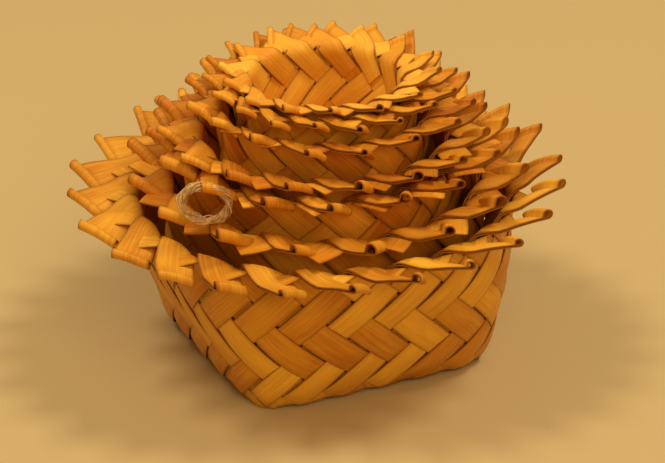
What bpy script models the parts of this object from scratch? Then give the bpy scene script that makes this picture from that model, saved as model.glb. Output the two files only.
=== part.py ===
# Nest of seven plaited palm-leaf baskets with a loop of fibre on one rim point

import math

import bpy
import bmesh
from mathutils import Matrix, Vector
from mathutils.bvhtree import BVHTree

for old in list(bpy.data.objects):
    bpy.data.objects.remove(old, do_unlink=True)

MM = 0.001

# Sizes of each basket: radius over the rim's points, radius of the neck, side of the square
# floor, height of the wall to the neck, rise from there to the points, and how much higher
# the rim runs on one side. The baskets are numbered from the largest.
tip_radius_1 = 60.0 * MM
neck_radius_1 = 46.5 * MM
floor_side_1 = 63.5 * MM
wall_height_1 = 36.5 * MM
brim_rise_1 = 6.5 * MM
rim_lift_1 = 2.7 * MM

tip_radius_2 = 49.5 * MM
neck_radius_2 = 38.4 * MM
floor_side_2 = 53.3 * MM
wall_height_2 = 39.6 * MM
brim_rise_2 = 6.5 * MM
rim_lift_2 = 2.0 * MM

tip_radius_3 = 44.1 * MM
neck_radius_3 = 33.9 * MM
floor_side_3 = 48.1 * MM
wall_height_3 = 36.9 * MM
brim_rise_3 = 6.2 * MM
rim_lift_3 = 1.1 * MM

tip_radius_4 = 41.0 * MM
neck_radius_4 = 30.7 * MM
floor_side_4 = 41.7 * MM
wall_height_4 = 34.9 * MM
brim_rise_4 = 6.2 * MM
rim_lift_4 = 0.8 * MM

tip_radius_5 = 35.5 * MM
neck_radius_5 = 26.5 * MM
floor_side_5 = 35.9 * MM
wall_height_5 = 33.2 * MM
brim_rise_5 = 5.9 * MM
rim_lift_5 = 0.5 * MM

tip_radius_6 = 30.9 * MM
neck_radius_6 = 22.7 * MM
floor_side_6 = 30.4 * MM
wall_height_6 = 29.6 * MM
brim_rise_6 = 5.5 * MM
rim_lift_6 = 0.6 * MM

tip_radius_7 = 26.7 * MM
neck_radius_7 = 19.0 * MM
floor_side_7 = 26.0 * MM
wall_height_7 = 26.2 * MM
brim_rise_7 = 5.2 * MM
rim_lift_7 = 0.3 * MM

tip_radii = (
    tip_radius_1, tip_radius_2, tip_radius_3, tip_radius_4,
    tip_radius_5, tip_radius_6, tip_radius_7,
)
neck_radii = (
    neck_radius_1, neck_radius_2, neck_radius_3, neck_radius_4,
    neck_radius_5, neck_radius_6, neck_radius_7,
)
floor_sides = (
    floor_side_1, floor_side_2, floor_side_3, floor_side_4,
    floor_side_5, floor_side_6, floor_side_7,
)
wall_heights = (
    wall_height_1, wall_height_2, wall_height_3, wall_height_4,
    wall_height_5, wall_height_6, wall_height_7,
)
brim_rises = (
    brim_rise_1, brim_rise_2, brim_rise_3, brim_rise_4,
    brim_rise_5, brim_rise_6, brim_rise_7,
)
rim_lifts = (
    rim_lift_1, rim_lift_2, rim_lift_3, rim_lift_4,
    rim_lift_5, rim_lift_6, rim_lift_7,
)

# Strips each way in the floor of each basket, which make twice as many points round its rim
strip_counts = (12, 8, 8, 8, 8, 9, 7)

# Whether the first point of the rim is drawn from the first or the second column
first_columns = (1, 1, 0, 0, 0, 1, 0)

# How each basket is turned about the upright axis, and where its rim is highest, in degrees
turns = (-19.7, -2.3, 20.5, 5.9, 32.7, -29.0, -14.1)
lift_angles = (45.0, 80.0, 90.0, 120.0, 150.0, 120.0, 60.0)

# Thickness of the plaited wall and how far the strips stand out from it
wall_thickness = 1.0 * MM
strip_relief = 0.6 * MM

# Folded ends of the strips that make the points of the rim, from the brim's edge outwards
point_thicknesses = (1.1 * MM, 1.7 * MM, 1.0 * MM)
point_drop = 0.9 * MM
point_width_share = 0.46
point_shares = (0.45, 0.8, 1.0)
narrow_shares = (1.0, 1.0, 0.94)
slant_shares = (0.7, 1.0, 1.0)

# Clear space left where one basket wedges in the next
seat_gap = 0.3 * MM

# Shape of the wall between the square floor and the round neck
floor_squareness = 8.0
neck_squareness = 2.0
bulge_share = 0.85
square_fade_share = 0.4
floor_edge_share = 0.95
brim_edge_share = 0.5
brim_bend_share = 0.25

# Loop of fibre round one point of the third basket
tie_rise = 4.4 * MM
tie_strand = 0.95 * MM
tie_slack = 0.4 * MM
tie_angle = -127.0
tie_reach_share = 0.62

leaf_colours = (
    (0.62, 0.36, 0.08),
    (0.58, 0.33, 0.07),
    (0.64, 0.38, 0.09),
    (0.56, 0.31, 0.07),
    (0.66, 0.39, 0.09),
    (0.6, 0.35, 0.08),
    (0.7, 0.43, 0.1),
)
fibre_colour = (0.66, 0.45, 0.2)


def matt_material(name, colour, roughness):
    mat = bpy.data.materials.new(name)
    mat.use_nodes = True
    shader = mat.node_tree.nodes["Principled BSDF"]
    shader.inputs["Base Color"].default_value = (*colour, 1.0)
    shader.inputs["Roughness"].default_value = roughness
    mat.diffuse_color = (*colour, 1.0)
    return mat


class Basket:
    # One basket's own sizes and the shape that follows from them
    def __init__(self, rank):
        self.tip = tip_radii[rank]
        self.neck = neck_radii[rank]
        self.floor = floor_sides[rank] / 2
        self.height = wall_heights[rank]
        self.rise = brim_rises[rank]
        self.strips = strip_counts[rank]
        self.turn = math.radians(turns[rank])
        self.lift = rim_lifts[rank]
        self.lift_angle = math.radians(lift_angles[rank])
        self.columns = 4 * self.strips
        self.first_column = first_columns[rank]
        self.pitch = 2 * math.pi * self.neck / (2 * self.strips)
        self.rows = max(4, round(2 * self.height / self.pitch))
        self.strip_width = self.pitch / math.sqrt(2)

    def angle(self, column):
        return 2 * math.pi * column / self.columns + self.turn

    # Radius and height of the outside at a share of the way up: 1 at the neck, 2 at the brim's edge
    def outside(self, angle, share):
        wall = min(share, 1.0)
        square = floor_squareness + (neck_squareness - floor_squareness) * wall ** square_fade_share
        half = self.floor + (self.neck - self.floor) * wall ** bulge_share
        own = angle - self.turn + math.pi / 4
        across = abs(math.cos(own)) ** square + abs(math.sin(own)) ** square
        radius = half / across ** (1 / square)
        height = self.height * wall
        if share > 1:
            out = share - 1
            radius += (self.tip - self.neck) * brim_edge_share * out
            height += self.rise * brim_edge_share * out * (1 - brim_bend_share * out)
        height += self.lift * math.cos(angle - self.lift_angle) * (share / 2) ** 2
        return radius, height

    # Same place pushed along the wall's own normal, inwards when the push is below zero
    def pushed(self, angle, share, push):
        step = 0.02
        r1, z1 = self.outside(angle, max(share - step, 0.0))
        r2, z2 = self.outside(angle, share + step)
        dr, dz = r2 - r1, z2 - z1
        length = math.hypot(dr, dz)
        r, z = self.outside(angle, share)
        return r + push * dz / length, z - push * dr / length

    def place(self, angle, radius, height):
        return Vector((radius * math.cos(angle), radius * math.sin(angle), height))


def grow_ring(bm, ring, places):
    # Extrude an open loop of edges and put the new loop on the given places
    count = len(ring)
    edges = [bm.edges.get((ring[i], ring[(i + 1) % count])) for i in range(count)]
    made = bmesh.ops.extrude_edge_only(bm, edges=edges)["geom"]
    fresh = {item for item in made if isinstance(item, bmesh.types.BMVert)}
    grown = []
    for old_vert in ring:
        joined = [edge.other_vert(old_vert) for edge in old_vert.link_edges]
        grown.append(next(vert for vert in joined if vert in fresh))
    for vert, spot in zip(grown, places):
        vert.co = spot
    return grown


def split_quads(lower, upper, first_row):
    # Cut each quad along the float of the strip on top, or along the groove between two strips
    count = len(lower)
    for i in range(count):
        n = (i + 1) % count
        a, b, c, d = lower[i], lower[n], upper[n], upper[i]
        face = next(f for f in a.link_faces if b in f.verts and c in f.verts and d in f.verts)
        rising = first_row % 4 < 2
        pair = (a, c) if rising else (b, d)
        bmesh.utils.face_split(face, *pair)


def plait_basket(basket, plaited_inside):
    bm = bmesh.new()
    cols = range(basket.columns)
    made = bmesh.ops.create_circle(bm, cap_ends=True, segments=basket.columns, radius=basket.floor)
    ring = sorted(made["verts"], key=lambda vert: math.atan2(vert.co.y, vert.co.x))

    # Underside and the rounded edge of the floor
    for i, vert in zip(cols, ring):
        angle = basket.angle(i)
        radius, _ = basket.outside(angle, 0.0)
        vert.co = basket.place(angle, radius * floor_edge_share, 0.0)

    # Outside of the wall, each crossing of two strips standing out
    shares = [(row + 0.3) / (basket.rows + 0.3) for row in range(basket.rows + 1)]
    last = ring
    for row, share in enumerate(shares):
        spots = []
        for i in cols:
            angle = basket.angle(i)
            push = strip_relief if (i + row) % 2 == 0 else 0.0
            spots.append(basket.place(angle, *basket.pushed(angle, share, push)))
        grown = grow_ring(bm, last, spots)
        if row:
            split_quads(last, grown, row)
        last = grown

    # Brim, over its edge and back down to the neck
    for share, push in ((1.5, 0.0), (2.0, 0.0), (2.0, -wall_thickness), (1.5, -wall_thickness)):
        spots = []
        for i in cols:
            angle = basket.angle(i)
            raised = strip_relief if share == 1.5 and (i + basket.rows) % 2 else 0.0
            raised = -raised if push else raised
            spots.append(basket.place(angle, *basket.pushed(angle, share, push + raised)))
        grown = grow_ring(bm, last, spots)
        if share == 2.0 and push:
            edge_low, edge_high = last, grown
        last = grown

    # Inside of the wall, plaited where it is seen
    if plaited_inside:
        inner = [(row, share) for row, share in enumerate(shares)][::-1]
    else:
        inner = [(row, share) for row, share in enumerate(shares)][::-2]
        if inner[-1][0] != 0:
            inner.append((0, shares[0]))
    for row, share in inner:
        spots = []
        for i in cols:
            angle = basket.angle(i)
            push = -wall_thickness
            if plaited_inside and (i + row) % 2 == 0:
                push -= strip_relief
            radius, height = basket.pushed(angle, share, push)
            if row == 0:
                height = max(height, 1.6 * wall_thickness)
            spots.append(basket.place(angle, radius, height))
        last = grow_ring(bm, last, spots)
    spots = []
    for i in cols:
        angle = basket.angle(i)
        radius, _ = basket.outside(angle, 0.0)
        spots.append(basket.place(angle, radius * floor_edge_share - wall_thickness, wall_thickness))
    last = grow_ring(bm, last, spots)
    edges = [bm.edges.get((last[i], last[(i + 1) % basket.columns])) for i in cols]
    bmesh.ops.contextual_create(bm, geom=edges)

    # Points of the rim: every other piece of the edge is drawn out and folded over
    for i in range(basket.first_column, basket.columns, 2):
        n = (i + 1) % basket.columns
        quad = {edge_low[i], edge_low[n], edge_high[i], edge_high[n]}
        face = next(f for f in edge_low[i].link_faces if set(f.verts) == quad)
        draw_point(bm, basket, face, basket.angle(i + 0.5))
    bmesh.ops.recalc_face_normals(bm, faces=bm.faces[:])
    return bm


def point_axes(basket, angle):
    # Outward, sideways and upward directions of a rim point, the side counted anticlockwise
    r1, z1 = basket.outside(angle, 1.9)
    r2, z2 = basket.outside(angle, 2.0)
    out = basket.place(angle, r2 - r1, z2 - z1).normalized()
    side = Vector((-math.sin(angle), math.cos(angle), 0.0))
    return out, side, out.cross(side)


def draw_point(bm, basket, face, angle):
    out, side, up = point_axes(basket, angle)
    start = face.calc_center_median()
    reach = (basket.tip - math.hypot(start.x, start.y)) / math.hypot(out.x, out.y)
    half = basket.strip_width * point_width_share
    corners = {}
    for vert in face.verts:
        offset = vert.co - start
        corners[vert] = (math.copysign(1.0, offset.dot(side)), math.copysign(1.0, offset.dot(up)))
    for along, narrowing, thick, turn in zip(point_shares, narrow_shares, point_thicknesses, slant_shares):
        centre = start + out * (reach * along)
        face = bmesh.ops.extrude_discrete_faces(bm, faces=[face])["faces"][0]
        moved = {}
        for vert in face.verts:
            source = next(edge.other_vert(vert) for edge in vert.link_edges if edge.other_vert(vert) in corners)
            across, above = corners[source]
            slant = -across * point_drop * turn
            vert.co = centre + side * (across * half * narrowing) + up * (above * thick / 2 + slant)
            moved[vert] = (across, above)
        corners = moved


def solid_of(shell, tied):
    # Points and faces of a basket, with those of what is tied to its rim
    points = [vert.co.copy() for vert in shell.verts]
    faces = [[vert.index for vert in face.verts] for face in shell.faces]
    if tied:
        faces += [[corner + len(points) for corner in face] for face in tied[1]]
        points += tied[0]
    return points, faces


def clearance_ok(outer, outer_tree, inner, lift, gap):
    # True when the smaller basket, set at this height, keeps the gap from the larger one
    moved = [point + Vector((0.0, 0.0, lift)) for point in inner[0]]
    inner_tree = BVHTree.FromPolygons(moved, inner[1])
    if outer_tree.overlap(inner_tree):
        return False
    for point in moved:
        if outer_tree.find_nearest(point, gap)[0] is not None:
            return False
    for point in outer[0]:
        if inner_tree.find_nearest(point, gap)[0] is not None:
            return False
    return True


def seat_height(outer, inner, wall_height):
    # Lower the smaller basket until its floor corners wedge in the larger one's wall
    outer_tree = BVHTree.FromPolygons(*outer)
    low = wall_thickness + seat_gap
    if clearance_ok(outer, outer_tree, inner, low, seat_gap * 0.98):
        return low
    high = wall_height
    for _ in range(11):
        middle = (low + high) / 2
        if clearance_ok(outer, outer_tree, inner, middle, seat_gap):
            high = middle
        else:
            low = middle
    return high


collection = bpy.data.collections.new("nesting_baskets")
bpy.context.scene.collection.children.link(collection)
cutters = bpy.data.collections.new("cutters")
cutters.hide_render = True
bpy.context.scene.collection.children.link(cutters)

baskets = [Basket(rank) for rank in range(len(strip_counts))]
shells = []
for rank, basket in enumerate(baskets):
    shell = plait_basket(basket, rank == len(baskets) - 1)
    shell.verts.index_update()
    shell.verts.ensure_lookup_table()
    shells.append(shell)

# Fibre loop, threaded over the point of the third basket that is nearest to the given angle
tied_rank = 2
carrier = baskets[tied_rank]
step = 4 * math.pi / carrier.columns
first = carrier.angle(0.5 + carrier.first_column)
point_angle = first + step * round((math.radians(tie_angle) - first) / step)
out, side, up = point_axes(carrier, point_angle)
edge_radius, edge_height = carrier.pushed(point_angle, 2.0, -wall_thickness / 2)
start = carrier.place(point_angle, edge_radius, edge_height)
reach = (carrier.tip - edge_radius) / math.hypot(out.x, out.y)
centre = start + out * (reach * tie_reach_share)
half_width = carrier.strip_width * point_width_share
slant = Matrix.Rotation(-math.atan2(point_drop, half_width), 3, out)
side, up = slant @ side, slant @ up
tie_side = half_width + tie_strand + tie_slack
bpy.ops.mesh.primitive_torus_add(
    major_segments=24,
    minor_segments=8,
    major_radius=tie_rise,
    minor_radius=tie_strand,
)
tie = bpy.context.object
tie.name = "fibre_tie"
tie.data.name = "fibre_tie"
for vert in tie.data.vertices:
    around = Vector((vert.co.x, vert.co.y, 0.0)).normalized()
    thick = vert.co - around * tie_rise
    drawn = Vector((around.x * tie_side, around.y * tie_rise, 0.0)) + thick
    vert.co = side * drawn.x + up * drawn.y + out * drawn.z
tie.data.materials.clear()
tie.data.materials.append(matt_material("raffia_fibre", fibre_colour, 0.8))
for holder in list(tie.users_collection):
    holder.objects.unlink(tie)
collection.objects.link(tie)

# Seat of each basket in the next larger one, kept clear of the loop too
tie_points = [centre + vert.co for vert in tie.data.vertices]
tie_faces = [list(face.vertices) for face in tie.data.polygons]
solids = []
for rank, shell in enumerate(shells):
    solids.append(solid_of(shell, (tie_points, tie_faces) if rank == tied_rank else None))
levels = [0.0]
for rank in range(1, len(baskets)):
    seat = seat_height(solids[rank - 1], solids[rank], baskets[rank - 1].height)
    levels.append(levels[-1] + seat)
tie.location = centre + Vector((0.0, 0.0, levels[tied_rank]))

for rank, shell in enumerate(shells):
    name = "basket_" + str(rank + 1)
    mesh = bpy.data.meshes.new(name)
    shell.to_mesh(mesh)
    shell.free()
    thing = bpy.data.objects.new(name, mesh)
    thing.location = (0.0, 0.0, levels[rank])
    mesh.materials.append(matt_material("palm_leaf_" + str(rank + 1), leaf_colours[rank], 0.55))
    collection.objects.link(thing)
    print(name, "floor at", round(levels[rank] / MM, 2), "tips at",
          round((levels[rank] + baskets[rank].height + baskets[rank].rise) / MM, 2),
          "rows", baskets[rank].rows, "strip", round(baskets[rank].strip_width / MM, 2))
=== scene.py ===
# %% [markdown]
# A nest of seven small baskets, plaited from flat strips of palm leaf. Each has a square
# floor, a wall that rounds out to a circular neck, and a level brim whose strips are folded
# back over themselves into a ring of points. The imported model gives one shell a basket. Here
# every strip is laid one by one in the shell's place, so that the weave has real edges,
# shadows and folds. A displaced texture on the shells would be quicker, but its edges would
# be soft and its folds couldn't overhang.

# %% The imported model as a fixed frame
import math
import random

import bmesh
import bpy
import numpy as np
from mathutils import Matrix, Vector


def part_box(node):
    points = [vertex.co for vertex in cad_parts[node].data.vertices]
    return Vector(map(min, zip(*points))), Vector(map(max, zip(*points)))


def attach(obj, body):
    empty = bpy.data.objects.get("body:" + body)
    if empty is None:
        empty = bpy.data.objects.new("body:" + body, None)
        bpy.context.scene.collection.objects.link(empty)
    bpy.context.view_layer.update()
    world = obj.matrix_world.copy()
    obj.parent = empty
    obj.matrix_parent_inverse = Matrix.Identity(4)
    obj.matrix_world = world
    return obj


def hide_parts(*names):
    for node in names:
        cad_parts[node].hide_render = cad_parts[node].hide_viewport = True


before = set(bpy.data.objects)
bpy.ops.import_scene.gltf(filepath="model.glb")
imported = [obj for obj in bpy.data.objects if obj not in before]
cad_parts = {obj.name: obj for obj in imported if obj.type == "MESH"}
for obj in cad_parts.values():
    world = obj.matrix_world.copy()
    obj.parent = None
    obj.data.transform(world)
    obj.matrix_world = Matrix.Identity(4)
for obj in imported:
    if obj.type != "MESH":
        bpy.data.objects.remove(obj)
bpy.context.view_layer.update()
MM = 0.001
print("nodes:", sorted(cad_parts))

# %% [markdown]
# The camera comes first, because everything after it is judged through it. It looks down on
# the nest by 28 degrees through a long lens. It could be placed by eye, but one view has to
# fit seven rims at once, so it was worked out from the corners of the largest floor and the
# points of all the rims. It aims at the middle of the nest's foot, and the lens shift, which
# counts in widths of the picture, then slides the nest to its place in the frame.

# %% Camera at the photograph's angle
photo_width = 665
view_width = math.radians(12.0)
look_down = math.radians(27.98)
view_distance = 0.7977
shift_right = 8.8 / photo_width
shift_up = 103.3 / photo_width


def add_object(name, data):
    thing = bpy.data.objects.new(name, data)
    bpy.context.scene.collection.objects.link(thing)
    return thing


camera = add_object("camera", bpy.data.cameras.new("camera"))
camera.data.sensor_fit = "HORIZONTAL"
camera.data.angle = view_width
camera.data.shift_x = shift_right
camera.data.shift_y = shift_up
camera.location = (0.0, -view_distance * math.cos(look_down), view_distance * math.sin(look_down))
camera.rotation_euler = (math.pi / 2 - look_down, 0.0, 0.0)
bpy.context.scene.camera = camera
print("camera at", [round(value, 3) for value in camera.location])

# %% [markdown]
# The shape of a basket follows from a few sizes. Its floor, its neck and its points are as
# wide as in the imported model, whose brims slope up a little. In the photograph the brims lie
# nearly level at the height of those points, so the walls here are taller and the brims
# flatter. A rim made by hand is never quite level or centred, so each has a high side and
# may stand a little to the right or left.

# %% Sizes of the seven baskets
# Each row has the body, then in millimetres the radius over the points, the radius of the
# neck, the side of the floor, the height of the wall, the rise of the brim, how much higher
# the rim is on one side and how far it stands to the right. Then come the strips each way
# and the first column that has a point, and in degrees the turn and the high side.
basket_sizes = (
    ("outer_basket", 60.8, 46.5, 63.5, 41.5, 1.5, 2.7, -2.0, 12, 1, -19.7, 45.0),
    ("second_basket", 49.5, 38.4, 53.3, 44.6, 1.5, 2.0, 0.6, 8, 1, -2.3, 80.0),
    ("third_basket", 44.1, 33.9, 48.1, 41.6, 1.5, 1.1, 0.8, 8, 0, 20.5, 90.0),
    ("fourth_basket", 41.0, 30.7, 41.7, 39.3, 1.8, 0.8, 0.0, 8, 0, 5.9, 120.0),
    ("fifth_basket", 35.5, 26.5, 35.9, 37.6, 1.5, 0.5, 1.8, 8, 0, 32.7, 150.0),
    ("sixth_basket", 30.9, 22.7, 30.4, 33.4, 1.5, 0.6, 1.6, 9, 1, -29.0, 120.0),
    ("inner_basket", 26.7, 19.0, 26.0, 29.6, 1.8, 0.3, 1.4, 7, 0, -14.1, 60.0),
)
print("baskets:", [sizes[0] for sizes in basket_sizes])

# %% [markdown]
# The wall goes from a rounded square at the floor to a circle at the neck. A subdivision
# surface could be pulled to that shape, but the strips need a place for any pair of numbers,
# so the outline is a formula: a superellipse, whose power falls from 8, nearly a square, to
# 2, a circle. Past the neck the same formula goes on outwards as the brim. The height of the
# floor in the nest is read from the frame.

# %% One basket's surface
floor_squareness = 8.0
neck_squareness = 2.0
square_fade_share = 0.4
bulge_share = 0.85
brim_edge_share = 0.47
brim_bend_share = 0.25
lean_top = 2.0


def mix(first, second, share):
    return first + (second - first) * share


class Basket:
    def __init__(self, rank, sizes):
        self.node = "basket_" + str(rank)
        self.slot = "palm_leaf_" + str(rank)
        self.body, tip, neck, floor, height, rise, lift, sway = sizes[:8]
        self.strips, self.first_column, turn, lift_angle = sizes[8:]
        self.tip, self.neck, self.half_floor = tip * MM, neck * MM, floor * MM / 2
        self.height, self.rise = height * MM, rise * MM
        self.lift, self.sway = lift * MM, sway * MM
        self.turn, self.lift_angle = math.radians(turn), math.radians(lift_angle)
        self.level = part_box(self.node)[0].z
        self.side_ends = self.strips / 2

    # Radius and height at an angle and a share of the way up, where 1 is the neck
    def outside(self, angle, share):
        wall = np.minimum(share, 1.0)
        square = mix(floor_squareness, neck_squareness, wall ** square_fade_share)
        half = mix(self.half_floor, self.neck, wall ** bulge_share)
        own = angle - self.turn + math.pi / 4
        across = np.abs(np.cos(own)) ** square + np.abs(np.sin(own)) ** square
        out = np.maximum(share - 1.0, 0.0)
        lean = (np.minimum(share, lean_top) / lean_top) ** 2
        radius = half / across ** (1 / square)
        radius = radius + (self.tip - self.neck) * brim_edge_share * out
        radius = radius + self.sway * np.cos(angle) * lean
        height = self.height * wall
        height = height + self.rise * brim_edge_share * out * (1 - brim_bend_share * out)
        height = height + self.lift * np.cos(angle - self.lift_angle) * lean
        return radius, height


baskets = [Basket(rank, sizes) for rank, sizes in enumerate(basket_sizes, 1)]
print("floors at", [round(basket.level / MM, 2) for basket in baskets], "mm")

# %% [markdown]
# A plaiter counts in strips, not in millimetres. For every point of the rim, one strip that
# leans to the right and one that leans to the left go up the wall, so the girth divided by
# the points is the pitch of the strips, and each pitch of height is one strip further up. The
# wall widens as it rises, so the count can't come from one division. It is added up in fine
# steps, from the floor to well past the points.

# %% Strips counted up each wall
# Shares run from the floor, 0, past the neck, 1, to well outside the points
share_top = 3.4
share_steps = 340
angle_steps = 96
strip_fill_share = 0.97


def measure(basket):
    basket.shares = np.linspace(0.0, share_top, share_steps + 1)
    angles = np.linspace(0.0, 2 * math.pi, angle_steps + 1)
    radius, height = basket.outside(angles[None, :], basket.shares[:, None])
    ring = np.stack((radius * np.cos(angles), radius * np.sin(angles), height), axis=2)
    girth = np.linalg.norm(np.diff(ring, axis=1), axis=2).sum(axis=1)
    points = 2 * basket.strips
    basket.pitches = girth / points
    steps = np.linalg.norm(np.diff(ring, axis=0), axis=2).mean(axis=1)
    rises = steps / ((basket.pitches[1:] + basket.pitches[:-1]) / 2)
    basket.climbs = np.concatenate(([0.0], np.cumsum(rises)))
    basket.neck_climb = float(np.interp(1.0, basket.shares, basket.climbs))
    neck_pitch = float(np.interp(1.0, basket.shares, basket.pitches))
    basket.strip_width = neck_pitch / math.sqrt(2) * strip_fill_share


def pitch_at(basket, climb):
    return np.interp(climb, basket.climbs, basket.pitches)


for basket in baskets:
    measure(basket)
    print(basket.node, "has", basket.strips, "strips each way,",
          round(basket.strip_width / MM, 2), "mm wide, and its neck after",
          round(basket.neck_climb, 2), "strips of height")

# %% [markdown]
# The strips run on the bias, so each one comes down the wall leaning one way, crosses the
# floor round one of its corners and goes up the next wall leaning the other way. Drawn in
# space, every crossing would have to be worked out by itself. On a flat pattern they are
# straight lines: x counts strips along one side from the corner, y along the side before it.
# Where both are above zero the pattern lies on the floor, and where one is below zero it
# turns up a wall. The strips' ends are evenly spaced along the floor's sides, and evenly in
# angle at the neck.

# %% Pattern coordinates to places on the basket
angle_fade_share = 0.5
corner_draw_power = 3
bend_reach = 0.11
middle_weight = 2


def unit(angle):
    return np.array((math.cos(angle), math.sin(angle), 0.0))


def on_wall(basket, ends, climb):
    # Ends are counted round the foot of the wall from corner 0
    share = np.interp(climb, basket.climbs, basket.shares)
    side = np.floor(ends / basket.side_ends)
    across = 2 * (ends / basket.side_ends - side) - 1
    even, square = across * math.pi / 4, np.arctan(across)
    fade = np.minimum(share, 1.0) ** angle_fade_share
    angle = basket.turn + (side + 0.5) * math.pi / 2 + square + (even - square) * fade
    radius, height = basket.outside(angle, share)
    return np.stack((radius * np.cos(angle), radius * np.sin(angle), height), axis=-1)


def on_floor(basket, corner, x, y):
    # A true square, drawn in at its corners to the rounded outline of the wall's foot
    half = basket.half_floor
    step = 2 * half / basket.side_ends
    at_corner = basket.turn + corner * math.pi / 2
    spot = unit(at_corner) * half * math.sqrt(2)
    spot = spot + x[..., None] * unit(at_corner + 3 * math.pi / 4) * step
    spot = spot + y[..., None] * unit(at_corner - 3 * math.pi / 4) * step
    angle = np.arctan2(spot[..., 1], spot[..., 0])
    own = angle - basket.turn + math.pi / 4
    far = np.maximum(np.abs(np.cos(own)), np.abs(np.sin(own)))
    edge = np.minimum(np.linalg.norm(spot, axis=-1) * far / half, 1.0)
    rounded = basket.outside(angle, np.zeros_like(angle))[0] * far / half
    return spot * (1 + (rounded - 1) * edge ** corner_draw_power)[..., None]


def on_basket(basket, corner, x, y):
    right = (y < 0) & (y <= x)
    left = (x < 0) & ~right
    first = corner * basket.side_ends
    ends = np.where(right, first + x, first - y)
    climb = np.where(right, -y, np.where(left, -x, 0.0))
    wall = on_wall(basket, ends, climb)
    floor = on_floor(basket, corner, x, y)
    return np.where((right | left)[..., None], wall, floor)


def smoothed(basket, corner, x, y):
    # The mean of five places near each other rounds the floor's edge and the neck
    near = ((1, 0), (-1, 0), (0, 1), (0, -1))
    total = on_basket(basket, corner, x, y) * middle_weight
    for dx, dy in near:
        total = total + on_basket(basket, corner, x + dx * bend_reach, y + dy * bend_reach)
    return total / (middle_weight + len(near))


trial = smoothed(baskets[0], 0, np.array([2.0]), np.array([-baskets[0].neck_climb]))[0]
print("two strips from a corner, at basket_1's neck:", np.round(trial / MM, 1))

# %% [markdown]
# Each strip is one long ribbon. It goes from its plain end in the brim down one wall, round a
# corner of the floor and up the next wall to its fold. A curve drawn by hand for each of the
# 120 would never meet the rim evenly. So a strip is told only which corner it goes round and
# how far from it. It works out how far up its fold begins, and the small lean that brings the
# fold to its own place on the rim. A strip that runs right at a corner is held off it on the
# floor and eased back on the wall.

# %% Path of one strip
fold_skew = 0.22
least_from_corner = 0.27
squeeze_reach = 1.2
top_float_depth = 0.95


def ease(value, start, end):
    share = np.clip((value - start) / (end - start), 0.0, 1.0)
    return share * share * (3 - 2 * share)


class Strip:
    def __init__(self, basket, corner, from_corner, luck):
        self.basket, self.corner, self.luck = basket, corner, luck
        self.from_corner = max(from_corner, least_from_corner)
        self.squeeze = self.from_corner - from_corner
        diagonal = basket.strip_width / 2 * math.sqrt(0.5)
        reach = basket.tip - diagonal * (1 + fold_skew)
        share = 1 + (reach - basket.neck) / ((basket.tip - basket.neck) * brim_edge_share)
        self.tip_climb = float(np.interp(share, basket.shares, basket.climbs))
        point_turn = diagonal * (1 - fold_skew) / reach * basket.strips / math.pi
        first_point = (basket.first_column + 0.5) / 2 + point_turn
        end = corner * basket.side_ends + from_corner + self.tip_climb
        wanted = first_point + round(end - first_point)
        self.lean = (wanted - end) / self.tip_climb
        # The last float before the neck is centred halfway between two crossings
        top_crossing = round(self.crossings(basket.neck_climb - top_float_depth))
        self.float_middle = top_crossing - 0.5

    # How many strips of the other direction are met in a climb up the wall
    def crossings(self, climb):
        return (2 + self.lean) * climb

    def up_wall(self, along):
        return np.maximum(along, -along - self.from_corner)

    # Where the strip's length and breadth lie on the flat pattern
    def pattern(self, along, across):
        up_right = np.maximum(along, 0.0)
        up_left = np.maximum(-along - self.from_corner, 0.0)
        drift = self.lean * up_right - self.squeeze * ease(up_right, 0.0, squeeze_reach)
        drift_left = self.squeeze * ease(up_left, 0.0, squeeze_reach)
        x = self.from_corner + along - across + drift
        y = -along - across - drift_left
        return x, y


trial_strip = Strip(baskets[0], 0, 0.5, {})
print("basket_1's first strip folds after", round(trial_strip.tip_climb, 2), "strips of height")

# %% [markdown]
# Palm baskets like these are woven over two, under two. On the wall the strips that lie on
# top all lean the same way for one band and the other way for the next, which gives the
# herringbone. A checked list of overs and unders would lift the strips in steps. A cosine
# with a period of four crossings lifts a strip over two and sinks it under two in one smooth
# wave, and the strips of the other direction take the same wave upside down, so that no two
# strips ever share a place. In the brim a strip runs under the plain ends of its neighbours,
# and its fold then comes back over them.

# %% Height of a strip above and below the weave
weave_rise_share = 0.085
wave_gain = 1.25
wave_limit = 1.05
# In strips, the first three from the floor's edge and the next two from the neck
turn_up = 0.25
foot_start = 0.05
foot_end = 0.5
brim_start = 0.1
brim_end = 0.3
# Where the leaf's middle lies; above zero is outwards, which is downwards in the brim
wall_middle = -0.2 * MM
floor_middle = -0.9 * MM
brim_under = 0.3 * MM
brim_between = -0.15 * MM


def wave(crossings):
    return np.clip(wave_gain * np.cos(crossings * math.pi / 2), -wave_limit, wave_limit)


def floor_weave(strip, along):
    # Strips round opposite corners run side by side, and the others cross them
    count = 2 * along + strip.from_corner
    offset = strip.basket.side_ends - strip.from_corner
    forward = 1 if strip.corner in (0, 1) else -1
    outward = -1 if strip.corner in (0, 3) else 1
    family = 1 if strip.corner in (0, 2) else -1
    return family * wave(forward * count + outward * offset - 0.5)


def weave(strip, along):
    up_left = -along - strip.from_corner
    right = wave(strip.crossings(along) - strip.float_middle)
    left = -wave(strip.crossings(up_left) - strip.float_middle)
    on_right = ease(along, -turn_up, turn_up)
    on_left = ease(up_left, -turn_up, turn_up)
    floor = floor_weave(strip, along)
    return floor * (1 - on_right - on_left) + right * on_right + left * on_left


def in_brim(strip, along):
    neck = strip.basket.neck_climb
    return ease(strip.up_wall(along), neck - brim_start, neck + brim_end)


# A leaf's edges bend towards the strips that it crosses, and down in the brim
def bow(strip, along):
    return mix(weave(strip, along), -1, in_brim(strip, along))


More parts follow.
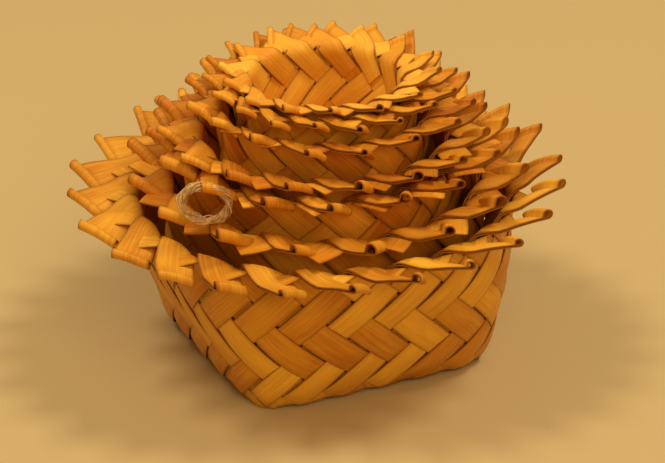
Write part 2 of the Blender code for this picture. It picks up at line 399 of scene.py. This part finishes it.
def push(strip, along):
    at_foot = ease(strip.up_wall(along), foot_start, foot_end)
    middle = mix(floor_middle, wall_middle, at_foot)
    woven = middle + weave(strip, along) * strip.basket.strip_width * weave_rise_share
    laid = np.where(along > 0, brim_under, brim_between)
    return mix(woven, laid, in_brim(strip, along))


trial_way = np.arange(0.0, trial_strip.tip_climb, 0.5)
print("its height up the wall, in mm:", np.round(push(trial_strip, trial_way) / MM, 1))

# %% [markdown]
# The fold is what makes the rim. A strip that leans to the right runs out of the neck over
# the brim, turns up and back over itself in a small roll, and is tucked in again inside the
# neck. A bevelled edge would give a plain hem. The roll here goes round further than a half
# turn, so that it reads as a little tube with a dark line behind it. Each row of the strip
# says where it is along the strip, how far it has risen off the brim and how far it stands
# out in the roll. No two folds of a real rim are alike, so each strip has its own luck: how
# short it is, how far its plain end reaches, how thick its roll is, how wide it is, how it
# is tilted and how much its point droops.

# %% Rows of one strip
DEGREE = math.pi / 180
row_step = 0.12
plain_end = 0.42
tuck_depth = 0.75
closed_gap = 0.5 * MM
roll_radius_share = 0.132
roll_turn = math.radians(235.0)
roll_steps = 9

# Least, most and scale; short and plain count in strips, roll and width are shares
luck_ranges = {
    "short": (0.0, 0.07, 1.0),
    "plain": (0.0, 0.12, 1.0),
    "roll": (0.8, 1.12, 1.0),
    "width": (0.95, 1.0, 1.0),
    "tilt": (-5.0, 5.0, DEGREE),
    "droop": (-0.7, 0.7, MM),
}


def flat_rows(start, end, risen):
    count = math.ceil(abs(end - start) / row_step)
    return [(start + (end - start) * i / count, risen, 0.0) for i in range(count + 1)]


def rows_of(strip):
    basket, luck = strip.basket, strip.luck
    tip = strip.tip_climb - luck["short"]
    start = -strip.from_corner - basket.neck_climb - plain_end + luck["plain"]
    rows = flat_rows(start, tip, 0.0)
    radius = basket.strip_width * roll_radius_share * luck["roll"]
    for i in range(1, roll_steps + 1):
        turned = roll_turn * i / roll_steps
        rows.append((tip, radius * (1 - math.cos(turned)), radius * math.sin(turned)))
    behind = tip - radius / (math.sqrt(2) * float(pitch_at(basket, tip)))
    rows += flat_rows(behind, basket.neck_climb - tuck_depth, closed_gap)
    return np.array(rows)


trial_strip.luck = {name: (low + high) / 2 * scale
                    for name, (low, high, scale) in luck_ranges.items()}
print("its rows from end to end:", len(rows_of(trial_strip)))

# %% [markdown]
# A dried leaf is stiff along its length and a little curled across it. A flat ribbon bent
# with a Curve modifier couldn't follow floor, wall and brim in one piece, so each point of
# the strip is put on the basket's surface and pushed off it by the weave, the roll and the
# curl. The strip is a little narrower where it passes from over to under. Its fold is askew,
# with the outer corner further out, and tilted with that corner up, so that the points
# overlap like slates.

# %% Points of one strip
across_steps = 4
# On the pattern, a strip that touches the next one reaches this far to either side
half_room = 0.25
pinch_share = 0.97
slope_step = 0.02
slant = math.radians(31.0)
camber = 0.42 * MM


def surface_at(strip, along, across):
    def places(a, b):
        return smoothed(strip.basket, strip.corner, *strip.pattern(a, b))

    spots = places(along, across)
    forward = places(along + slope_step, across) - places(along - slope_step, across)
    aside = places(along, across + slope_step) - places(along, across - slope_step)
    normal = np.cross(forward, aside)
    normal = normal / np.linalg.norm(normal, axis=-1, keepdims=True)
    forward = forward / np.linalg.norm(forward, axis=-1, keepdims=True)
    return spots, forward, normal


def strip_points(strip):
    basket, luck = strip.basket, strip.luck
    way, risen, ahead = rows_of(strip).T[:, :, None]
    breadth = np.linspace(-1.0, 1.0, across_steps + 1)
    along = np.repeat(way, len(breadth), axis=1)
    pitch = pitch_at(basket, np.maximum(strip.up_wall(along), 0.0))
    half = basket.strip_width / 2 / (math.sqrt(2) * pitch)
    half = np.minimum(half, half_room * strip_fill_share)
    pinch = mix(pinch_share, 1, np.minimum(np.abs(bow(strip, along)), 1.0))
    across = breadth[None, :] * half * pinch * luck["width"]
    folded = ease(along, basket.neck_climb, strip.tip_climb)
    spots, forward, normal = surface_at(strip, along + fold_skew * across * folded, across)
    side = across * math.sqrt(2) * pitch
    rise = risen + side * np.sin(folded * (slant + luck["tilt"]))
    rise = rise + luck["droop"] * folded ** 2
    bowed = camber * breadth[None, :] ** 2 * bow(strip, along)
    out = push(strip, along) - rise - bowed
    spots = spots + normal * out[..., None] + forward * ahead[..., None]
    spots[..., 2] += basket.level
    travelled = np.linalg.norm(np.diff(spots[:, len(breadth) // 2], axis=0), axis=1)
    length = np.concatenate(([0.0], np.cumsum(travelled))) / basket.strip_width
    return spots, length


trial_length = strip_points(trial_strip)[1][-1] * baskets[0].strip_width
print("its leaf is", round(trial_length / MM), "mm long")

# %% [markdown]
# Each strip starts as a bmesh grid whose points are moved to their places. The grid keeps the
# strip's own length and breadth as a UV map, so that the leaf's grain runs along it whatever
# way it turns, and each strip gets its own tone. A Solidify modifier gives the leaf its
# thickness last, because a leaf is far too thin to model both faces by hand.

# %% One strip as a mesh
grain_shift = 7.3


def lay_strip(bm, spots, length, tone, number):
    rows, columns = spots.shape[:2]
    made = bmesh.ops.create_grid(bm, x_segments=rows - 1, y_segments=columns - 1, size=1.0)
    uv_layer = bm.loops.layers.uv.verify()
    tone_layer = bm.verts.layers.float["leaf_tone"]
    where = {}
    # A grid of size 1 runs from -1 to 1 each way, which tells each point's row and column
    for vert in made["verts"]:
        i = round((vert.co.x + 1) / 2 * (rows - 1))
        j = round((vert.co.y + 1) / 2 * (columns - 1))
        where[vert] = (j / (columns - 1), length[i] + number * grain_shift)
        vert[tone_layer] = tone
        vert.co = spots[i, j]
    for face in {face for vert in made["verts"] for face in vert.link_faces}:
        face.smooth = True
        for loop in face.loops:
            loop[uv_layer].uv = where[loop.vert]
    for edge in {edge for vert in made["verts"] for edge in vert.link_edges}:
        edge.smooth = not edge.is_boundary


trial_mesh = bmesh.new()
trial_mesh.verts.layers.float.new("leaf_tone")
lay_strip(trial_mesh, *strip_points(trial_strip), tone=0.5, number=0)
print("its grid has", len(trial_mesh.faces), "faces")
trial_mesh.free()

# %% [markdown]
# A basket is all the strips round its four corners, one pitch apart. They stay in one mesh,
# because a plaited basket moves as one thing. The random numbers come from one seeded
# source, so that every run gives the same nest.

# %% Plaiting the baskets
leaf_thickness = 0.3 * MM
luck_seed = 7


def distances_from_corner(basket, corner):
    first = (0.5 - corner * basket.side_ends) % 1.0
    return [first + i for i in range(math.ceil(basket.side_ends - first))]


def plait(basket, chance):
    bm = bmesh.new()
    bm.verts.layers.float.new("leaf_tone")
    number = 0
    for corner in range(4):
        for from_corner in distances_from_corner(basket, corner):
            luck = {name: chance.uniform(low, high) * scale
                    for name, (low, high, scale) in luck_ranges.items()}
            spots, length = strip_points(Strip(basket, corner, from_corner, luck))
            lay_strip(bm, spots, length, chance.random(), number)
            number += 1
    mesh = bpy.data.meshes.new(basket.node + "_plaiting")
    bm.to_mesh(mesh)
    bm.free()
    piece = add_object(basket.node + "_plaiting", mesh)
    leaf = piece.modifiers.new("leaf thickness", "SOLIDIFY")
    leaf.thickness = leaf_thickness
    leaf.offset = 0.0
    print(piece.name, "has", number, "strips and", len(mesh.polygons), "faces")
    return piece


chance = random.Random(luck_seed)
plaited = []
for basket in baskets:
    piece = plait(basket, chance)
    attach(piece, basket.body)
    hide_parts(basket.node)
    plaited.append(piece)

# %% [markdown]
# A loop of frayed fibre is threaded over one point of the third basket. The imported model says
# where its middle is. The loop stands across the rim, turned a little round it and slanted,
# so three directions are worked out first: away from the nest, along the loop's width and up
# through its height.

# %% Place and directions of the fibre loop
tie_low, tie_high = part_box("fibre_tie")
tie_centre = (tie_low + tie_high) / 2
tie_angle = math.radians(-127.0)
loop_turn = math.radians(42.0)
loop_slant = math.radians(20.0)

away = Vector((math.cos(tie_angle), math.sin(tie_angle), 0.0))
aside = Vector((-math.sin(tie_angle), math.cos(tie_angle), 0.0))
turned = Matrix.Rotation(loop_turn, 3, away.cross(aside))
away, aside = turned @ away, turned @ aside
aside = Matrix.Rotation(-loop_slant, 3, away) @ aside
upward = away.cross(aside)
print("fibre loop round", [round(value / MM, 1) for value in tie_centre])

# %% [markdown]
# The loop could be one thick ring, but loose fibre is a bundle of hairs that wander a little.
# So a few dozen thin curves are drawn round the same loop, each twisting two or three times
# round the bundle's middle. Curves with a bevel are quick to draw, and turning them into one
# mesh at the end makes the loop one plain piece.

# %% Hairs of the fibre loop
tie_rise = 4.4 * MM
tie_side = 5.8 * MM
tie_strand = 0.95 * MM
hair_radius = 0.13 * MM
hair_count = 44
hair_points = 28
hair_twists = (2, 3)
most_loose = 0.6
# Each hair swells and thins five times round the loop, and each starts elsewhere
loose_waves = 5
loose_start = 9


def hair_place(around, start_angle, depth, twist, loose):
    wander = start_angle + twist * around
    thick = depth + loose * math.sin(loose_waves * around + loose_start * start_angle)
    ring = math.cos(wander) * thick
    spot = aside * math.cos(around) * (tie_side + ring)
    spot += upward * math.sin(around) * (tie_rise + ring)
    spot += away * math.sin(wander) * thick + tie_centre
    return spot


fibre = bpy.data.curves.new("fibre_loop", "CURVE")
fibre.dimensions = "3D"
fibre.bevel_depth = hair_radius
fibre.bevel_resolution = 1
fibre.resolution_u = 2
for hair in range(hair_count):
    spline = fibre.splines.new("NURBS")
    spline.points.add(hair_points - 1)
    spline.use_cyclic_u = True
    start_angle = chance.uniform(0.0, 2 * math.pi)
    depth = math.sqrt(chance.random()) * tie_strand
    twist = chance.choice(hair_twists)
    loose = chance.uniform(0.0, most_loose) * MM
    for i, point in enumerate(spline.points):
        around = 2 * math.pi * i / hair_points
        point.co = (*hair_place(around, start_angle, depth, twist, loose), 1.0)
print("hairs drawn:", len(fibre.splines))

# %% Fibre loop as one mesh
drawn = add_object("fibre_curve", fibre)
bpy.context.view_layer.update()
seen = drawn.evaluated_get(bpy.context.evaluated_depsgraph_get())
fibre_mesh = bpy.data.meshes.new_from_object(seen)
bpy.data.objects.remove(drawn)
fibre_mesh.name = "fibre_loop"
fibre_mesh.shade_smooth()
loop = add_object("fibre_loop", fibre_mesh)
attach(loop, "third_basket")
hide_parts("fibre_tie")
print("fibre loop has", len(fibre_mesh.polygons), "faces")

# %% [markdown]
# Dried palm leaf is golden, with fine veins along it, a satin face and cloudy patches. Its
# edges are darkened with painted shade, for the shadow lines in the gaps between strips. An
# image would show all that too, but it would repeat from strip to strip. All baskets are of the
# same leaf in slightly different shades, so the grain is one node group that each basket's
# material uses with its own pale and deep colours.

# %% Helpers that add a node and feed it
# A Mix node keeps its colours at inputs 6 and 7, and their mix at output 2
mix_first, mix_second, mix_result = 6, 7, 2


def feed(tree, value, socket):
    if isinstance(value, (int, float, tuple)):
        socket.default_value = value
    else:
        tree.links.new(value, socket)


def math_node(tree, operation, first, second):
    node = tree.nodes.new("ShaderNodeMath")
    node.operation = operation
    feed(tree, first, node.inputs[0])
    feed(tree, second, node.inputs[1])
    return node.outputs[0]


def noise_node(tree, vector, scale, detail):
    mapping = tree.nodes.new("ShaderNodeMapping")
    feed(tree, scale, mapping.inputs["Scale"])
    feed(tree, vector, mapping.inputs["Vector"])
    noise = tree.nodes.new("ShaderNodeTexNoise")
    feed(tree, 1.0, noise.inputs["Scale"])
    feed(tree, detail, noise.inputs["Detail"])
    feed(tree, mapping.outputs[0], noise.inputs["Vector"])
    return noise.outputs[0]


def mix_node(tree, factor, first, second):
    node = tree.nodes.new("ShaderNodeMix")
    node.data_type = "RGBA"
    feed(tree, factor, node.inputs[0])
    feed(tree, first, node.inputs[mix_first])
    feed(tree, second, node.inputs[mix_second])
    return node.outputs[mix_result]


# %% The grain group and its sockets
grain_sockets = (
    ("Pale", "INPUT", "NodeSocketColor"),
    ("Deep", "INPUT", "NodeSocketColor"),
    ("Color", "OUTPUT", "NodeSocketColor"),
    ("Roughness", "OUTPUT", "NodeSocketFloat"),
    ("Height", "OUTPUT", "NodeSocketFloat"),
)
palm_grain = bpy.data.node_groups.new("palm leaf grain", "ShaderNodeTree")
for name, way, kind in grain_sockets:
    palm_grain.interface.new_socket(name=name, in_out=way, socket_type=kind)
given = palm_grain.nodes.new("NodeGroupInput").outputs
result = palm_grain.nodes.new("NodeGroupOutput").inputs
print("grain takes", [socket.name for socket in given if socket.name])
print("grain gives", [socket.name for socket in result if socket.name])

# %% [markdown]
# A palm leaf has coarse veins along it, finer fibre between them, and patches where it dried
# unevenly. A wave texture would draw the veins too regularly. Noise that is squeezed across
# the strip and drawn out along it gives veins that start and stop as real ones do. It reads
# the strip's own UV map, because the strips run every way. The edges are darkened with
# painted shade, which stands for the shadow lines in the gaps between strips.

# %% Veins, clouds and painted edge shade
# Scales across the strip, along it and unused, for a strip that is one unit broad
vein_scale, vein_detail = (17.0, 0.45, 1.0), 4.0
fine_scale, fine_detail = (70.0, 1.6, 1.0), 2.0
cloud_scale, cloud_detail = (1.6, 0.7, 1.0), 3.0
edge_shade_sharpness = 11.0

leaf_uv = palm_grain.nodes.new("ShaderNodeUVMap").outputs[0]
split = palm_grain.nodes.new("ShaderNodeSeparateXYZ")
feed(palm_grain, leaf_uv, split.inputs[0])
veins = noise_node(palm_grain, leaf_uv, vein_scale, vein_detail)
fine = noise_node(palm_grain, leaf_uv, fine_scale, fine_detail)
clouds = noise_node(palm_grain, leaf_uv, cloud_scale, cloud_detail)
from_middle = math_node(palm_grain, "SUBTRACT", split.outputs[0], 0.5)
from_middle = math_node(palm_grain, "ABSOLUTE", from_middle, 0.0)
edge = math_node(palm_grain, "MULTIPLY", from_middle, 2.0)
# Painted shade: the strip's edges are darkened to stand for the shadow lines in the gaps between
# strips
painted_edge_shade = math_node(palm_grain, "POWER", edge, edge_shade_sharpness)
print("grain nodes so far:", len(palm_grain.nodes))

# %% [markdown]
# Patches and veins choose between the pale and the deep colour, and each strip's own tone
# shifts it as a whole, since no two leaves dry alike. Separate noises for colour and relief
# would be freer, but here the same veins and fibre also set the gloss and the height, so that
# all three agree.

# %% Colour, roughness and height of the leaf
tone_weight = 0.65
cloud_weight = 0.7
vein_weight = 1.15
shade_drop = 0.78
# Strength and colour of the painted shade along the strips' edges
edge_shade_strength = 0.8
edge_shade_colour = (0.20, 0.048, 0.003, 1.0)
least_rough = 0.33
rough_range = 0.25
vein_ridge = 0.7
fine_ridge = 0.3


def weighted(value, weight):
    return math_node(palm_grain, "MULTIPLY", value, weight)


tone = palm_grain.nodes.new("ShaderNodeAttribute")
tone.attribute_name = "leaf_tone"
shade = weighted(tone.outputs["Fac"], tone_weight)
shade = math_node(palm_grain, "ADD", shade, weighted(clouds, cloud_weight))
shade = math_node(palm_grain, "ADD", shade, weighted(veins, vein_weight))
shade = math_node(palm_grain, "SUBTRACT", shade, shade_drop)
clamp = palm_grain.nodes.new("ShaderNodeClamp")
feed(palm_grain, shade, clamp.inputs[0])
colour = mix_node(palm_grain, clamp.outputs[0], given["Pale"], given["Deep"])
# The edges are darkened towards the shade colour, a painted shadow of the gaps between strips
colour = mix_node(palm_grain, weighted(painted_edge_shade, edge_shade_strength), colour, edge_shade_colour)
rough = math_node(palm_grain, "ADD", weighted(fine, rough_range), least_rough)
ridges = weighted(veins, vein_ridge)
ridges = math_node(palm_grain, "ADD", ridges, weighted(fine, fine_ridge))
feed(palm_grain, colour, result["Color"])
feed(palm_grain, rough, result["Roughness"])
feed(palm_grain, ridges, result["Height"])
print("grain nodes:", len(palm_grain.nodes), "links:", len(palm_grain.links))

# %% [markdown]
# Seven materials share that grain. The fourth basket is the darkest and the innermost the
# palest, as in the photograph. The leaf's face is satin, with warm highlights. One colour and
# one roughness would make it look like card, so both come from the grain, and so does the
# bump of the veins. The gloss is the same all over, so it is set on the shader itself.

# %% Palm leaf materials
leaf_gloss = 0.35
leaf_gloss_tint = (1.0, 0.68, 0.30, 1.0)
bump_strength = 0.55
bump_distance = 0.25 * MM
# Pale and deep colour of each basket, from the largest to the innermost
leaf_colours = (
    ((0.84, 0.405, 0.030), (0.48, 0.140, 0.006)),
    ((0.83, 0.365, 0.026), (0.47, 0.118, 0.004)),
    ((0.83, 0.360, 0.026), (0.47, 0.115, 0.004)),
    ((0.80, 0.335, 0.024), (0.44, 0.100, 0.004)),
    ((0.84, 0.360, 0.026), (0.48, 0.115, 0.004)),
    ((0.86, 0.395, 0.028), (0.51, 0.140, 0.005)),
    ((0.93, 0.475, 0.045), (0.65, 0.220, 0.010)),
)


def new_material(name):
    material = bpy.data.materials.new(name)
    material.use_nodes = True
    return material, material.node_tree, material.node_tree.nodes["Principled BSDF"].inputs


def palm_material(name, pale, deep):
    material, tree, shader = new_material(name)
    shader["Specular IOR Level"].default_value = leaf_gloss
    shader["Specular Tint"].default_value = leaf_gloss_tint
    grain = tree.nodes.new("ShaderNodeGroup")
    grain.node_tree = palm_grain
    grain.inputs["Pale"].default_value = (*pale, 1.0)
    grain.inputs["Deep"].default_value = (*deep, 1.0)
    bump = tree.nodes.new("ShaderNodeBump")
    bump.inputs["Strength"].default_value = bump_strength
    bump.inputs["Distance"].default_value = bump_distance
    tree.links.new(grain.outputs["Color"], shader["Base Color"])
    tree.links.new(grain.outputs["Roughness"], shader["Roughness"])
    tree.links.new(grain.outputs["Height"], bump.inputs["Height"])
    tree.links.new(bump.outputs[0], shader["Normal"])
    return material


for basket, piece, (pale, deep) in zip(baskets, plaited, leaf_colours):
    piece.data.materials.append(palm_material(basket.slot, pale, deep))
print("palm leaf materials:", len(plaited))

# %% [markdown]
# The frayed fibre is dry and matt, and paler and darker in flecks where the hairs are thick
# or thin. A bump would be lost on hairs this fine, so a small noise through a colour ramp is
# all it needs.

# %% Fibre material
fibre_roughness = 0.75
fleck_scale = 900.0
# Place on the ramp and colour of the dark and the pale flecks
fleck_colours = ((0.3, (0.46, 0.23, 0.05, 1.0)), (0.7, (0.84, 0.55, 0.22, 1.0)))

fibre_material, tree, shader = new_material("raffia_fibre")
shader["Roughness"].default_value = fibre_roughness
coordinates = tree.nodes.new("ShaderNodeTexCoord")
flecks = tree.nodes.new("ShaderNodeTexNoise")
flecks.inputs["Scale"].default_value = fleck_scale
tint = tree.nodes.new("ShaderNodeValToRGB")
for stop, (place, colour) in zip(tint.color_ramp.elements, fleck_colours):
    stop.position = place
    stop.color = colour
tree.links.new(coordinates.outputs["Object"], flecks.inputs["Vector"])
tree.links.new(flecks.outputs[0], tint.inputs[0])
tree.links.new(tint.outputs[0], shader["Base Color"])
loop.data.materials.append(fibre_material)
print("fibre material on", loop.name)

# %% [markdown]
# The nest stands on a plain pale table top. It is one large square, far larger than the view,
# so that no edge of it shows, and it isn't part of the object.

# %% Table top
table_size = 6.0
table_colour = (0.515, 0.360, 0.140, 1.0)
table_roughness = 0.65

bm = bmesh.new()
bmesh.ops.create_grid(bm, x_segments=1, y_segments=1, size=table_size / 2)
table_mesh = bpy.data.meshes.new("table_top")
bm.to_mesh(table_mesh)
bm.free()
table = add_object("table_top", table_mesh)
table_material, tree, shader = new_material("pale_table")
shader["Base Color"].default_value = table_colour
shader["Roughness"].default_value = table_roughness
table_mesh.materials.append(table_material)
print("table top is", table_size, "m wide")

# %% [markdown]
# Two soft lamps, one on each side and a little behind, throw the two toothed shadows of the
# rim. A third, wider one in front and plain light from all round soften them. A sun lamp
# would be simpler, but it would give a single hard shadow.

# %% Lamps and the light of the room
room_colour = (1.0, 0.76, 0.46, 1.0)
room_strength = 0.38
# Name, direction and height in degrees, distance and size in metres, watts and colour
lamps = (
    ("lamp_left", 172.0, 62.0, 1.3, 0.28, 7.2, (1.0, 0.92, 0.80)),
    ("lamp_right", 12.0, 62.0, 1.3, 0.28, 7.5, (1.0, 0.92, 0.80)),
    ("lamp_front", -75.0, 40.0, 1.6, 0.9, 8.5, (1.0, 0.85, 0.64)),
)

world = bpy.data.worlds.new("soft_room")
bpy.context.scene.world = world
world.use_nodes = True
background = world.node_tree.nodes["Background"].inputs
background["Color"].default_value = room_colour
background["Strength"].default_value = room_strength

for name, direction, elevation, distance, size, watts, colour in lamps:
    light = bpy.data.lights.new(name, "AREA")
    light.size = size
    light.energy = watts
    light.color = colour
    turn, lift = math.radians(direction), math.radians(elevation)
    flat = math.cos(lift)
    outward = Vector((math.cos(turn) * flat, math.sin(turn) * flat, math.sin(lift)))
    lamp = add_object(name, light)
    lamp.location = outward * distance
    lamp.rotation_euler = outward.to_track_quat("Z", "Y").to_euler()
    print(name, "at", [round(value, 2) for value in lamp.location])

# Colours come out as they are written
bpy.context.scene.view_settings.view_transform = "Standard"
